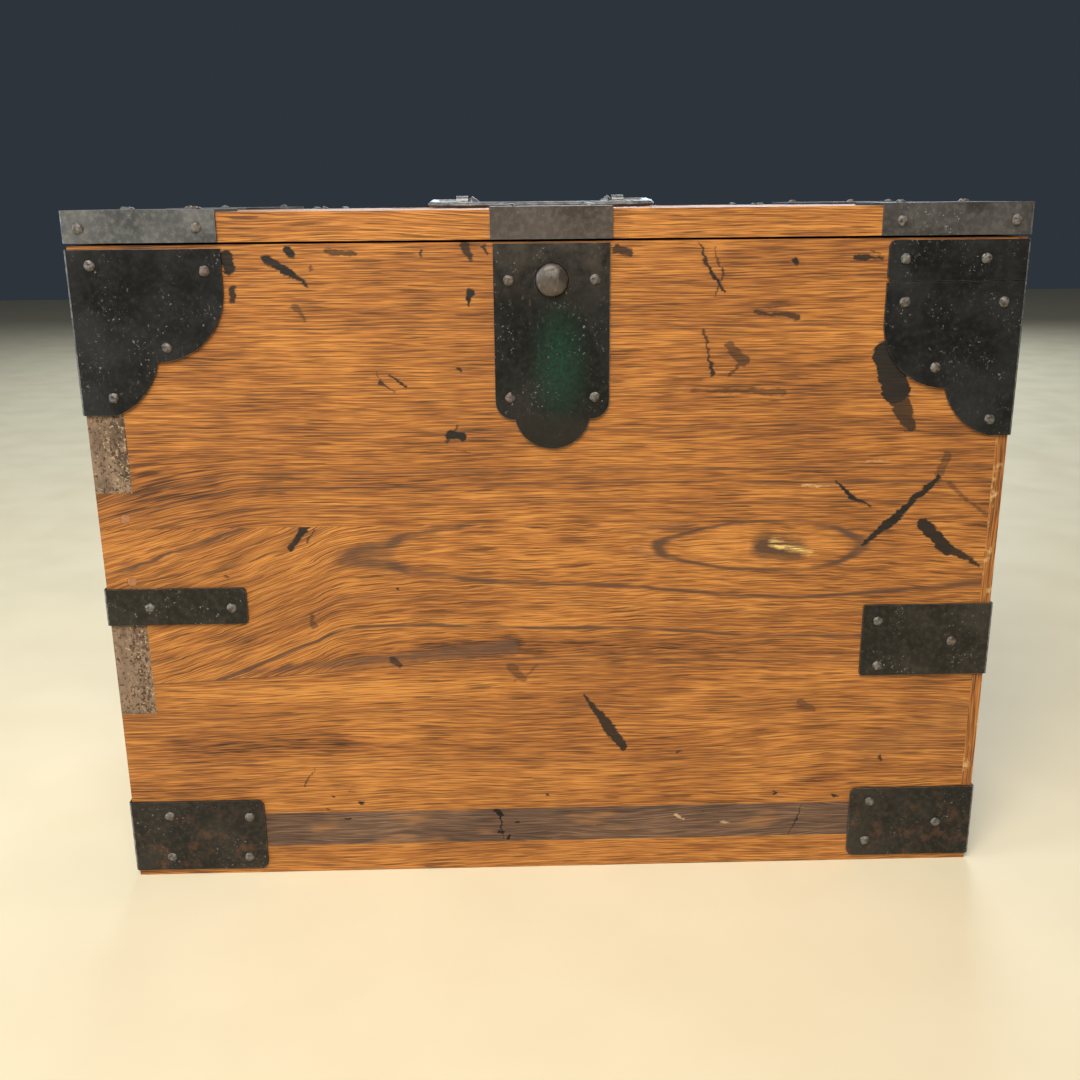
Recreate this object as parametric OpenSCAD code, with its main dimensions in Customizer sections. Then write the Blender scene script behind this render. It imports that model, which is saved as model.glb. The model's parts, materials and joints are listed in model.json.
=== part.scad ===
// Iron-bound wooden money box with a hinged lid, a coin hopper, a bail handle and a push-stud catch.
// +Z is up, the front faces -Y, and the origin is the middle of the base.

/* [Box] */
// Width of the wooden box, side to side
box_w = 400; // [340:5:480]
// Depth of the wooden box, front to back
box_d = 215; // [210:5:260]
// Height of the box from the base to its rim
box_h = 294; // [245:1:360]
// Thickness of the wall boards
board_t = 16; // [13:0.5:19]
// Thickness of the base board
base_t = 14; // [12:0.5:18]
// Height of the dark bottom strip of the front
strip_h = 17.5; // [14:0.5:24]
// Height of the glue joint between the two front boards
front_seam_z = 172.5; // [150:0.5:190]
// Height of the glue joint between the two back boards
back_seam_z = 158; // [145:0.5:190]
// Height of one finger of the left-hand corner joints
finger_h = 52.5; // [45:0.5:60]
// Width of the lip by which the right board laps the front and back
lip_w = 5; // [3:0.5:8]
// Diameter of the wooden pegs
peg_d = 4.4; // [3:0.1:6]
// Length of the wooden pegs
peg_len = 30; // [22:1:40]
// Distance between the two pegs of one finger
peg_pitch = 29; // [20:1:34]

/* [Lid] */
// Thickness of the lid board
lid_t = 12; // [10:0.5:16]
// Gap between the rim and the closed lid
lid_gap = 1; // [0.6:0.1:1.4]
// How far the lid opens, in degrees
lid_open = 110; // [90:1:120]

/* [Coin hopper] */
// Length of the mouth in the lid
mouth_l = 160; // [120:5:190]
// Width of the mouth in the lid
mouth_w = 54; // [50:1:56]
// Gap between the hopper and the back board
hopper_clear = 4; // [3:0.5:5]
// How far the hopper hangs under the lid
hopper_drop = 26.6; // [22:0.2:32]
// Thickness of the hopper boards, measured level
hopper_t = 10; // [8:0.5:11]
// Thickness of the hopper's end boards
hopper_end_t = 8; // [6:0.5:10]
// Width of the trough at the bottom of the hopper
trough_w = 12; // [10:1:16]
// Length of the coin slot
slot_l = 46; // [36:1:60]
// Width of the coin slot
slot_w = 6; // [5:0.5:8]

/* [Iron] */
// Thickness of the iron plates
iron_t = 1.2; // [0.8:0.1:1.6]
// Diameter of the nail heads
nail_head_d = 4.4; // [3.6:0.1:5]
// Diameter of the nail shanks
nail_d = 2; // [1.6:0.1:2.4]
// Length of the nail shanks in the wood
nail_len = 7.5; // [5:0.5:7.5]
// How much further in a nail sits on the side leg of a fitting, so that it passes the nail on the front leg
nail_stagger = 2.2; // [2:0.2:3]
// Width of the upper corner plates on the left
top_plate_w = 63; // [58:1:70]
// Width of the lower and middle fittings
low_plate_w = 62; // [58:1:68]
// Width of the upper corner plates on the right
right_plate_w = 58.5; // [54:0.5:66]
// Height of the bottom corner plates
bottom_plate_h = 36; // [30:1:42]
// Bare wood below the bottom corner plates
bottom_plate_z = 3; // [2:0.5:6]
// Height of the narrow corner straps
strap_h = 17; // [14:0.5:20]
// Height of the wide middle plate on the right
wide_strap_h = 34.5; // [28:0.5:40]
// Height of the middle of the left corner straps
left_strap_z = 136.5; // [120:0.5:150]
// Height of the middle of the right corner strap
right_strap_z = 114.5; // [100:0.5:130]
// Width of the strap on the lid's front edge
lid_strap_w = 51; // [44:1:60]
// How far that strap runs back over the lid
lid_strap_l = 48; // [42:1:54]

/* [Lock plate and push stud] */
// Width of the front lock plate
lock_w = 49; // [46:0.5:60]
// Height of the lock plate above its round lobe
lock_h = 74; // [66:1:86]
// Radius of the round lobe
lock_lobe_r = 16.5; // [14:0.5:20]
// Distance from the rim to the stud's axis
stud_drop = 15.6; // [13:0.2:18]
// Diameter of the stud's head
stud_head_d = 13.6; // [12:0.2:16]
// Diameter of the stud's shank
stud_d = 6; // [5:0.2:7]
// How far the stud is pushed in
stud_travel = 3; // [2.5:0.1:3]
// Space between the front board and the catch spring
catch_space = 5.5; // [5.5:0.1:7]
// Thickness of the catch spring
catch_t = 0.8; // [0.6:0.1:1.2]

/* [Hinges] */
// Distance from the box's side to the middle of a hinge
hinge_inset = 80; // [78:1:92]
// Width of a hinge
hinge_w = 28; // [24:1:30]
// Thickness of the hinge iron
hinge_t = 1.6; // [1.2:0.1:2]
// Diameter of the hinge pin
hinge_pin_d = 3.6; // [3:0.1:4]
// Outer radius of the hinge knuckles
knuckle_r = 4.2; // [3.6:0.1:5]
// Length of the hinge leaf on the back board
hinge_leaf_l = 50; // [36:1:60]
// Length of the hinge leaf on top of the lid
hinge_top_l = 48; // [30:1:56]

/* [Handle] */
// How far the handle's middle stands to the right of the box's
handle_x = -2; // [-5:0.5:5]
// Distance between the middles of the handle's posts
post_pitch = 77.4; // [70:0.2:100]
// Length of each post along the pivot
post_w = 5.8; // [5:0.2:7]
// Diameter of the handle's ends in the posts
pivot_d = 2.84; // [2.6:0.02:3.2]
// Wall of the post's ring
ring_wall = 1.4; // [1.2:0.1:1.6]
// Distance from the pivot to the middle of the grip
bail_reach = 34; // [30:1:38]
// Width of the bail's flat section
bail_w = 5.4; // [4.4:0.2:6]
// Height of the bail's flat section
bail_h = 2.6; // [2.2:0.1:2.6]
// Angle by which the grip lies lower than the pivot
bail_droop = 2.2; // [1.5:0.1:2.3]
// Free length of each pivot end between its post and the arm
arm_space = 7.6; // [5:0.2:10]
// Largest radius of the knob that keeps each end in its post
knob_r = 2.8; // [2.4:0.1:2.8]
// Length of each post's leg bent over under the lid
clench_l = 9; // [7:0.5:10]

/* [Hidden] */
$fn = 48;

// Play between a turning or sliding part and its bore, on the radius
run_fit = 0.08;
// Play beside moving parts, and beside heads that sink into a hole
side_play = 0.2;
// Overshoot that makes a cut run clear through
cut = 1;

left_x = -box_w / 2;
right_x = box_w / 2;
front_y = -box_d / 2;
back_y = box_d / 2;
lid_z = box_h + lid_gap;
lid_top = lid_z + lid_t;

WOOD = [0.72, 0.40, 0.17];
DARK_WOOD = [0.36, 0.20, 0.11];
PALE_WOOD = [0.80, 0.62, 0.40];
IRON = [0.17, 0.18, 0.18];
BARE_IRON = [0.45, 0.43, 0.40];

// ---------------------------------------------------------------- shared shapes

module block(low, high) translate(low) cube(high - low);

// Turns a shape made for the front left corner so that it suits another corner.
module at_corner(side, end) {
    translate([side * box_w / 2, end * box_d / 2, 0])
        if (side > 0 && end > 0) rotate([0, 0, 180]) children();
        else if (side > 0) mirror([1, 0, 0]) children();
        else if (end > 0) mirror([0, 1, 0]) children();
        else children();
}

// Bends a flat outline round the front left corner: x is the way in from the corner, y is down from the top.
module wrap(top_z) {
    translate([0, 0, top_z]) {
        rotate([90, 0, 0]) linear_extrude(iron_t) children();
        translate([-iron_t, 0, 0]) rotate([90, 0, 90]) linear_extrude(iron_t) children();
    }
}

// Outline of an upper corner plate: two round lobes, one below the other, that meet in a cusp.
module lobed_outline(w, h, r) {
    straight = 16.5;
    lobe_rise = 7;
    lower_x = 2;
    cusp_x = w - r;
    cusp_y = straight + r;
    lower_r = sqrt(pow(cusp_x - lower_x, 2) + pow(lobe_rise, 2));
    intersection() {
        union() {
            translate([-iron_t, -straight]) square([w + iron_t, straight]);
            translate([-iron_t, -cusp_y]) square([cusp_x + iron_t, cusp_y]);
            translate([cusp_x, -straight]) circle(r, $fn = 96);
            translate([lower_x, lobe_rise - cusp_y]) circle(lower_r, $fn = 96);
        }
        translate([-iron_t, -h]) square([w + iron_t, h]);
    }
}

// Outline of a strap or bottom plate, with round inner corners.
module strap_outline(w, h, r) {
    translate([-iron_t, -h]) square([w - r + iron_t, h]);
    translate([0, r - h]) square([w, h - 2 * r]);
    for (y = [r - h, -r]) translate([w - r, y]) circle(r);
}

// A hand-made nail that stands on z = 0 of the wood, with its head on a plate.
module nail(plate_t) {
    head_h = 1.1;
    r = nail_head_d / 2;
    translate([0, 0, plate_t])
        rotate_extrude($fn = 24)
            polygon([[0, 0], [r, 0], [r, 0.25 * head_h], [0.8 * r, 0.7 * head_h],
                     [0.45 * r, head_h], [0, head_h]]);
    nail_shank(plate_t, 0);
}

module nail_shank(plate_t, over) {
    translate([0, 0, -nail_len]) cylinder(d = nail_d, h = nail_len + plate_t + over, $fn = 24);
}

// ---------------------------------------------------------------- corner fittings

// Each fitting is [shape, top height, width, height, corner radius, nails as [way in, way down]].
function top_fitting() = ["lobed", box_h - 1.5, top_plate_w, 69, 30,
    [[9, 6.4], [56, 9], [37.5, 40.3], [13, 61.4]]];
function right_top_strap() = ["strap", box_h - 0.8, right_plate_w, strap_h, 3,
    [[51.5, 7.6], [17.2, 7.8]]];
function right_top_fitting() = ["lobed", box_h - 1.2 - strap_h, right_plate_w, 66, 28.5,
    [[50.5, 8], [8, 8.4], [35, 35.9], [9.3, 58.8]]];
function left_middle_strap() = ["strap", left_strap_z + strap_h / 2, low_plate_w, strap_h, 2,
    [[18.7, 8.6], [55, 9.4]]];
function right_middle_plate() = ["strap", right_strap_z + wide_strap_h / 2, right_plate_w, wide_strap_h, 1.5,
    [[51.6, 7.6], [50.3, 29.5], [16.8, 18]]];
function bottom_fitting() = ["strap", bottom_plate_z + bottom_plate_h, low_plate_w, bottom_plate_h, 3.5,
    [[17.6, 7.3], [55, 8.6], [16.6, 29], [53.4, 29.8]]];
function right_bottom_fitting() = ["strap", bottom_plate_z + bottom_plate_h, right_plate_w,
    bottom_plate_h, 3.5, [[49, 6.8], [16.2, 18.6], [50, 27.8]]];

function fittings(side, end) =
    side < 0 || end > 0
        ? [top_fitting(), left_middle_strap(), bottom_fitting()]
        : [right_top_strap(), right_top_fitting(), right_middle_plate(), right_bottom_fitting()];

function face_nails(fitting) = [for (n = fitting[5]) [n[0], fitting[1] - n[1]]];

// Puts nails, or the holes for them, in one leg of a fitting, by height.
module fitting_nails(side, end, leg, from_z, to_z, holes) {
    for (fitting = fittings(side, end), n = face_nails(fitting))
        if (n[1] > from_z - nail_d && n[1] < to_z + nail_d)
            at_corner(side, end)
                translate(leg == "face" ? [n[0], 0, n[1]] : [0, n[0] + nail_stagger, n[1]])
                    rotate(leg == "face" ? [90, 0, 0] : [0, -90, 0])
                        if (holes) nail_shank(iron_t, cut);
                        else nail(iron_t);
}

module corner_fitting(side, end, fitting) {
    color(IRON) difference() {
        at_corner(side, end) wrap(fitting[1])
            if (fitting[0] == "lobed") lobed_outline(fitting[2], fitting[3], fitting[4]);
            else strap_outline(fitting[2], fitting[3], fitting[4]);
        fitting_nails(side, end, "face", fitting[1] - fitting[3], fitting[1], true);
        fitting_nails(side, end, "side", fitting[1] - fitting[3], fitting[1], true);
    }
}

module top_plate_front_left() corner_fitting(-1, -1, top_fitting());
module top_plate_front_right() corner_fitting(1, -1, right_top_fitting());
module top_strap_front_right() corner_fitting(1, -1, right_top_strap());
module top_plate_back_left() corner_fitting(-1, 1, top_fitting());
module top_plate_back_right() corner_fitting(1, 1, top_fitting());
module middle_strap_front_left() corner_fitting(-1, -1, left_middle_strap());
module middle_plate_front_right() corner_fitting(1, -1, right_middle_plate());
module middle_strap_back_left() corner_fitting(-1, 1, left_middle_strap());
module middle_strap_back_right() corner_fitting(1, 1, left_middle_strap());
module bottom_plate_front_left() corner_fitting(-1, -1, bottom_fitting());
module bottom_plate_front_right() corner_fitting(1, -1, right_bottom_fitting());
module bottom_plate_back_left() corner_fitting(-1, 1, bottom_fitting());
module bottom_plate_back_right() corner_fitting(1, 1, bottom_fitting());

module front_nails() {
    color(BARE_IRON) {
        for (side = [-1, 1]) fitting_nails(side, -1, "face", 0, box_h, false);
        lock_nails() nail(iron_t);
    }
}

module back_nails() color(BARE_IRON) for (side = [-1, 1]) fitting_nails(side, 1, "face", 0, box_h, false);
module left_nails() color(BARE_IRON) for (end = [-1, 1]) fitting_nails(-1, end, "side", 0, box_h, false);
module right_nails() color(BARE_IRON) for (end = [-1, 1]) fitting_nails(1, end, "side", 0, box_h, false);

// Holes for every nail that reaches a board at one end or side of the box.
module board_nail_holes(sides, ends, from_z, to_z) {
    for (side = sides, end = ends, leg = ["face", "side"])
        fitting_nails(side, end, leg, from_z, to_z, true);
}

// ---------------------------------------------------------------- wooden walls

function finger_top(k) = box_h - k * finger_h;
finger_count = ceil((box_h - base_t) / finger_h);

// Space of every second finger of the left corners, from the rim down, starting with the first or second.
module finger_spaces(first, end) {
    y = end < 0 ? front_y - cut : back_y - board_t;
    for (k = [first : 2 : finger_count])
        block([left_x - cut, y, finger_top(k + 1)],
              [left_x + board_t, y + board_t + cut, finger_top(k) + (k == 0 ? cut : 0)]);
}

// The pegs go in from the front and back, through the third finger down.
module pegs(end, over) {
    middle_z = (finger_top(2) + finger_top(3)) / 2;
    for (z = [middle_z - peg_pitch / 2, middle_z + peg_pitch / 2])
        at_corner(-1, end) translate([0.72 * board_t, -over, z]) rotate([-90, 0, 0])
            cylinder(d = peg_d, h = peg_len + over);
}

module wooden_pegs() color(PALE_WOOD) for (end = [-1, 1]) pegs(end, 0);

module end_board(end, from_z, to_z) {
    y = end < 0 ? front_y : back_y - board_t;
    difference() {
        block([left_x, y, from_z], [right_x - lip_w, y + board_t, to_z]);
        finger_spaces(1, end);
        board_nail_holes([-1, 1], [end], from_z, to_z);
        pegs(end, cut);
    }
}

module front_board(from_z, to_z) {
    color(WOOD) difference() {
        end_board(-1, from_z, to_z);
        lock_nails() nail_shank(iron_t, cut);
        stud_axis() stud_bores();
        catch_nail_places() nail_shank(catch_space + catch_t, cut);
    }
}

module front_upper_board() front_board(front_seam_z, box_h);
module front_lower_board() front_board(base_t + strip_h, front_seam_z);
module front_bottom_strip() color(DARK_WOOD) end_board(-1, base_t, base_t + strip_h);

module back_upper_board() {
    color(WOOD) difference() {
        end_board(1, back_seam_z, box_h);
        hinge_places() body_leaf_nails() nail_shank(hinge_t, cut);
    }
}

module back_lower_board() color(WOOD) end_board(1, base_t, back_seam_z);

module left_board() {
    color(WOOD) difference() {
        block([left_x, front_y, base_t], [left_x + board_t, back_y, box_h]);
        for (end = [-1, 1]) {
            finger_spaces(0, end);
            pegs(end, cut);
        }
        board_nail_holes([-1], [-1, 1], base_t, box_h);
    }
}

module right_board() {
    color(WOOD) difference() {
        block([right_x - board_t, front_y, base_t], [right_x, back_y, box_h]);
        for (y = [front_y - cut, back_y - board_t])
            block([right_x - board_t - cut, y, base_t - cut],
                  [right_x - lip_w, y + board_t + cut, box_h + cut]);
        board_nail_holes([1], [-1, 1], base_t, box_h);
    }
}

module base_board() {
    color(WOOD) difference() {
        block([left_x, front_y, 0], [right_x, back_y, base_t]);
        board_nail_holes([-1, 1], [-1, 1], 0, base_t);
    }
}

// ---------------------------------------------------------------- lock plate, push stud and catch

stud_z = box_h - stud_drop;
lock_top = box_h - 0.6;
lock_nail_x = lock_w / 2 - 6.3;
shank_end = board_t + catch_space - run_fit;
collar_t = 1.5;
head_sink = stud_travel + 0.5;

module lock_nails() {
    for (x = [-lock_nail_x, lock_nail_x], down = [15, lock_h - 9.6])
        translate([x, front_y, lock_top - down]) rotate([90, 0, 0]) children();
}

// Turns the stud, made along +Z from the board's outer face, so that it points into the box.
module stud_axis() translate([0, front_y, stud_z]) rotate([-90, 0, 0]) children();

module lock_plate() {
    corner_r = 8;
    color(IRON) difference() {
        translate([0, front_y, lock_top]) rotate([90, 0, 0]) linear_extrude(iron_t) {
            translate([-lock_w / 2, corner_r - lock_h]) square([lock_w, lock_h - corner_r]);
            for (x = [corner_r - lock_w / 2, lock_w / 2 - corner_r])
                translate([x, corner_r - lock_h]) circle(corner_r);
            translate([0, 3.6 - lock_h]) circle(lock_lobe_r, $fn = 96);
        }
        lock_nails() nail_shank(iron_t, cut);
        stud_axis() translate([0, 0, -iron_t - cut])
            cylinder(r = stud_head_d / 2 + 2 * side_play, h = iron_t + 2 * cut);
    }
}

module stud_bores() {
    translate([0, 0, -cut]) cylinder(r = stud_head_d / 2 + 2 * side_play, h = head_sink + cut);
    cylinder(r = stud_d / 2 + run_fit, h = board_t + cut);
}

module push_stud() {
    rim_proud = iron_t + 1.2;
    dome_proud = iron_t + 4.2;
    r = stud_head_d / 2;
    color(IRON) stud_axis() {
        rotate_extrude() {
            polygon([
                [0, 0], [r, 0], [r, -rim_proud],
                for (a = [15 : 15 : 75]) [r * cos(a), -rim_proud - (dome_proud - rim_proud) * sin(a)],
                [0, -dome_proud]
            ]);
        }
        cylinder(d = stud_d, h = shank_end);
    }
}

// Ring riveted on the shank inside the box, which stops the stud from falling out.
module stud_collar() {
    color(BARE_IRON) stud_axis() translate([0, 0, board_t]) difference() {
        cylinder(r = stud_d / 2 + 2, h = collar_t);
        translate([0, 0, -cut]) cylinder(d = stud_d, h = collar_t + 2 * cut);
    }
}

catch_foot_z = stud_z - 64;
catch_head_z = stud_z - 10;
barb_h = 3.2;
barb_gap = 0.3;
keeper_y = front_y + board_t + 3;
spring_y = front_y + board_t + catch_space;

module catch_nail_places() {
    for (z = [catch_foot_z + 5, catch_foot_z + 15])
        translate([0, front_y + board_t, z]) rotate([-90, 0, 0]) children();
}

// Flat spring that stands in the box, with a cross head over the keeper's barbs.
module catch_spring() {
    color(BARE_IRON) difference() {
        union() {
            block([-6, spring_y, catch_foot_z], [6, spring_y + catch_t, stud_z + 6]);
            block([-21, spring_y, catch_head_z], [21, spring_y + catch_t, stud_z + 6]);
        }
        catch_nail_places() nail_shank(catch_space + catch_t, cut);
    }
}

module catch_block() {
    color(WOOD) difference() {
        block([-12, front_y + board_t, catch_foot_z], [12, spring_y, catch_foot_z + 20]);
        catch_nail_places() nail_shank(catch_space + catch_t, cut);
    }
}

module catch_nails() color(BARE_IRON) catch_nail_places() nail(catch_space + catch_t);

// Two barbed legs under the lid, one on each side of the stud.
module lid_keeper() {
    barb_top = catch_head_z - barb_gap;
    barb_reach = catch_space + catch_t - 3 + 0.9;
    color(BARE_IRON) difference() {
        union() {
            block([-21, keeper_y, lid_z - iron_t], [21, keeper_y + 30, lid_z]);
            for (x = [-20, 10]) {
                block([x, keeper_y, barb_top - barb_h], [x + 10, keeper_y + 1.5, lid_z]);
                translate([x, keeper_y, barb_top]) rotate([90, 0, 90]) linear_extrude(10)
                    polygon([[0, 0], [barb_reach, 0], [barb_reach, -0.6], [1.5, -barb_h], [0, -barb_h]]);
            }
        }
        keeper_nail_places() nail_shank(iron_t, cut);
    }
}

module keeper_nail_places() {
    for (x = [-14, 14]) translate([x, keeper_y + 17, lid_z]) rotate([180, 0, 0]) children();
}

// ---------------------------------------------------------------- lid and hopper

mouth_y = back_y - board_t - hopper_clear - hopper_t - mouth_w / 2;
slope_run = (mouth_w - trough_w) / 2;
hopper_z = lid_z - hopper_drop;

module lid_board() {
    color(WOOD) difference() {
        block([left_x, front_y, lid_z], [right_x, back_y, lid_top]);
        block([-mouth_l / 2, mouth_y - mouth_w / 2, lid_z - cut],
              [mouth_l / 2, mouth_y + mouth_w / 2, lid_top + cut]);
        for (side = [-1, 1]) post_place(side) post_legs();
        lid_nail_holes();
        keeper_nail_places() nail_shank(iron_t, cut);
        hinge_places() {
            lid_leaf_top(hinge_t + cut);
            lid_leaf_nails() nail_shank(hinge_t, cut);
        }
    }
}

// One sloping board of the hopper; the other is its mirror image.
module hopper_slope() {
    top = mouth_w / 2;
    translate([-mouth_l / 2, mouth_y, lid_z]) rotate([90, 0, 90]) linear_extrude(mouth_l)
        polygon([[-top, 0], [slope_run - top, -hopper_drop],
                 [slope_run - top - hopper_t, -hopper_drop], [-top - hopper_t, 0]]);
}

module hopper_front_board() color(WOOD) hopper_slope();
module hopper_back_board() {
    color(WOOD) translate([0, 2 * mouth_y, 0]) mirror([0, 1, 0]) hopper_slope();
}

module hopper_end(side) {
    top = mouth_w / 2 + hopper_t;
    low = trough_w / 2 + hopper_t;
    x = side < 0 ? -mouth_l / 2 - hopper_end_t : mouth_l / 2;
    color(WOOD) difference() {
        translate([x, mouth_y, lid_z]) rotate([90, 0, 90]) linear_extrude(hopper_end_t)
            polygon([[-top, 0], [-low, -hopper_drop], [low, -hopper_drop], [top, 0]]);
        slot_nail_places() nail_shank(iron_t, cut);
    }
}

module hopper_left_end() hopper_end(-1);
module hopper_right_end() hopper_end(1);

module slot_nail_places() {
    for (x = [-1, 1] * (mouth_l + hopper_end_t) / 2, y = [-8, 8])
        translate([x, mouth_y + y, hopper_z]) rotate([180, 0, 0]) children();
}

module coin_slot_plate() {
    half_l = mouth_l / 2 + hopper_end_t;
    half_w = trough_w / 2 + hopper_t;
    color(IRON) difference() {
        block([-half_l, mouth_y - half_w, hopper_z - iron_t], [half_l, mouth_y + half_w, hopper_z]);
        block([-slot_l / 2, mouth_y - slot_w / 2, hopper_z - iron_t - cut],
              [slot_l / 2, mouth_y + slot_w / 2, hopper_z + cut]);
        slot_nail_places() nail_shank(iron_t, cut);
    }
}

module slot_plate_nails() color(BARE_IRON) slot_nail_places() nail(iron_t);

// Corner plate of the lid: a bitten square on top, and a leg down each edge.
module lid_plate(side, end) {
    bite_r = 20;
    color(IRON) difference() {
        at_corner(side, end) {
            translate([0, 0, lid_top]) linear_extrude(iron_t) difference() {
                translate([-iron_t, -iron_t]) square(low_plate_w + iron_t);
                translate([low_plate_w, low_plate_w]) circle(bite_r);
            }
            block([-iron_t, -iron_t, lid_z], [low_plate_w, 0, lid_top + iron_t]);
            block([-iron_t, -iron_t, lid_z], [0, low_plate_w, lid_top + iron_t]);
        }
        lid_nail_holes();
    }
}

module lid_plate_front_left() lid_plate(-1, -1);
module lid_plate_front_right() lid_plate(1, -1);
module lid_plate_back_left() lid_plate(-1, 1);
module lid_plate_back_right() lid_plate(1, 1);

module lid_strap() {
    half = lid_strap_w / 2;
    color(IRON) difference() {
        union() {
            block([-half, front_y - iron_t, lid_z], [half, front_y, lid_top + iron_t]);
            translate([0, front_y, lid_top]) linear_extrude(iron_t) {
                translate([-half, -iron_t]) square([2 * half, lid_strap_l - 14 + iron_t]);
                translate([0, lid_strap_l - 20]) circle(20, $fn = 96);
            }
        }
        lid_nail_holes();
    }
}

// Nails that stand up in the lid's top, then those in its four edges.
module lid_nail_places() {
    edge_z = lid_z + lid_t / 2;
    for (side = [-1, 1], end = [-1, 1]) at_corner(side, end) {
        for (p = [[9, 52], [52, 9], [21, 21]]) translate([p[0], p[1], lid_top]) children();
        for (u = [6, 54]) translate([u, 0, edge_z]) rotate([90, 0, 0]) children();
        for (u = [14, 46]) translate([0, u, edge_z]) rotate([0, -90, 0]) children();
    }
    for (x = [-17, 17], y = [14, lid_strap_l - 16])
        translate([x, front_y + y, lid_top]) children();
}

module lid_nail_holes() lid_nail_places() nail_shank(iron_t, cut);
module lid_nails() color(BARE_IRON) {
    lid_nail_places() nail(iron_t);
    keeper_nail_places() nail(iron_t);
    hinge_places() lid_leaf_nails() nail(hinge_t);
}

// ---------------------------------------------------------------- handle

pivot_r = pivot_d / 2;
ring_bore_r = pivot_r + run_fit;
ring_r = ring_bore_r + ring_wall;
pivot_z = lid_top + ring_r;
pivot_y = 0;
arm_x = post_pitch / 2 + post_w / 2 + arm_space + bail_w / 2;

module post_place(side) translate([handle_x + side * post_pitch / 2, pivot_y, pivot_z]) children();

// The two legs of a post lie together in the lid and are bent apart under it.
module post_legs() {
    leg_t = 1.2;
    under = -ring_r - lid_t;
    block([-post_w / 2, -leg_t, under - leg_t], [post_w / 2, leg_t, 0]);
    block([-post_w / 2, -clench_l, under - leg_t], [post_w / 2, clench_l, under]);
}

module handle_post(side) {
    color(IRON) post_place(side) difference() {
        union() {
            post_legs();
            translate([-post_w / 2, 0, 0]) rotate([0, 90, 0]) cylinder(r = ring_r, h = post_w);
        }
        translate([-post_w / 2 - cut, 0, 0]) rotate([0, 90, 0])
            cylinder(r = ring_bore_r, h = post_w + 2 * cut);
    }
}

module handle_post_left() handle_post(-1);
module handle_post_right() handle_post(1);

module bail_section() {
    polygon([[-bail_w / 2, 0], [-bail_w / 4, -bail_h / 2], [bail_w / 4, -bail_h / 2],
             [bail_w / 2, 0], [bail_w / 4, bail_h / 2], [-bail_w / 4, bail_h / 2]]);
}

// Half of the bail: grip, bend, arm, and the end that turns in through the post to a pointed knob.
module bail_half() {
    bend_r = 12;
    arm_over = 2.2;
    knob_l = 5.4;
    knob_x = post_pitch / 2 - post_w / 2 - side_play;
    rotate([90, 0, 90]) translate([-bail_reach, 0, 0]) linear_extrude(arm_x - bend_r) bail_section();
    translate([arm_x - bend_r, bend_r - bail_reach, 0]) rotate([0, 0, -90])
        rotate_extrude(angle = 90) translate([bend_r, 0]) bail_section();
    translate([arm_x, arm_over, 0]) rotate([90, 0, 0])
        linear_extrude(bail_reach - bend_r + arm_over) bail_section();
    rotate([0, 90, 0]) rotate_extrude()
        polygon([[0, knob_x - knob_l], [0.5, knob_x - knob_l], [knob_r, knob_x - 0.35 * knob_l],
                 [pivot_r, knob_x], [pivot_r, arm_x], [0, arm_x]]);
}

module handle_bail() {
    color(IRON) translate([handle_x, pivot_y, pivot_z]) rotate([bail_droop, 0, 0]) {
        bail_half();
        mirror([1, 0, 0]) bail_half();
    }
}

// ---------------------------------------------------------------- hinges

hinge_x = box_w / 2 - hinge_inset;
hinge_y = back_y + knuckle_r + side_play;
hinge_z = box_h + lid_gap / 2;
middle_w = hinge_w / 3;
knuckle_gap = 0.4;

module hinge_places() for (x = [-hinge_x, hinge_x]) translate([x, 0, 0]) children();

module knuckle(from_x, to_x) {
    translate([from_x, hinge_y, hinge_z]) rotate([0, 90, 0]) cylinder(r = knuckle_r, h = to_x - from_x);
}

module pin_bore(play) {
    translate([-hinge_w / 2 - cut, hinge_y, hinge_z]) rotate([0, 90, 0])
        cylinder(r = hinge_pin_d / 2 + play, h = hinge_w + 2 * cut);
}

module body_leaf_nails() {
    for (p = [[-8, hinge_leaf_l - 30], [8, hinge_leaf_l - 30], [0, hinge_leaf_l - 8]])
        translate([p[0], back_y, box_h - p[1]]) rotate([-90, 0, 0]) children();
}

module lid_leaf_nails() {
    for (p = [[-8, 14], [8, 14], [0, hinge_top_l - 10]])
        translate([p[0], back_y - p[1], lid_top - hinge_t]) children();
}

// The lid's leaf is let into the lid's top, flush with it.
module lid_leaf_top(height) {
    translate([0, back_y - hinge_top_l, lid_top - hinge_t]) linear_extrude(height) {
        translate([-hinge_w / 2, hinge_w / 2]) square([hinge_w, hinge_top_l - hinge_w / 2 + hinge_t]);
        translate([0, hinge_w / 2]) circle(d = hinge_w);
    }
}

module hinge_body_leaf(x) {
    open_w = middle_w / 2 + knuckle_gap;
    reach = knuckle_r + knuckle_gap;
    color(IRON) translate([x, 0, 0]) difference() {
        union() {
            block([-hinge_w / 2, back_y, box_h - hinge_leaf_l], [hinge_w / 2, back_y + hinge_t, hinge_z]);
            knuckle(-hinge_w / 2, -open_w);
            knuckle(open_w, hinge_w / 2);
        }
        block([-open_w, back_y - cut, hinge_z - reach], [open_w, back_y + hinge_t + cut, hinge_z + reach]);
        pin_bore(0);
        body_leaf_nails() nail_shank(hinge_t, cut);
    }
}

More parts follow.
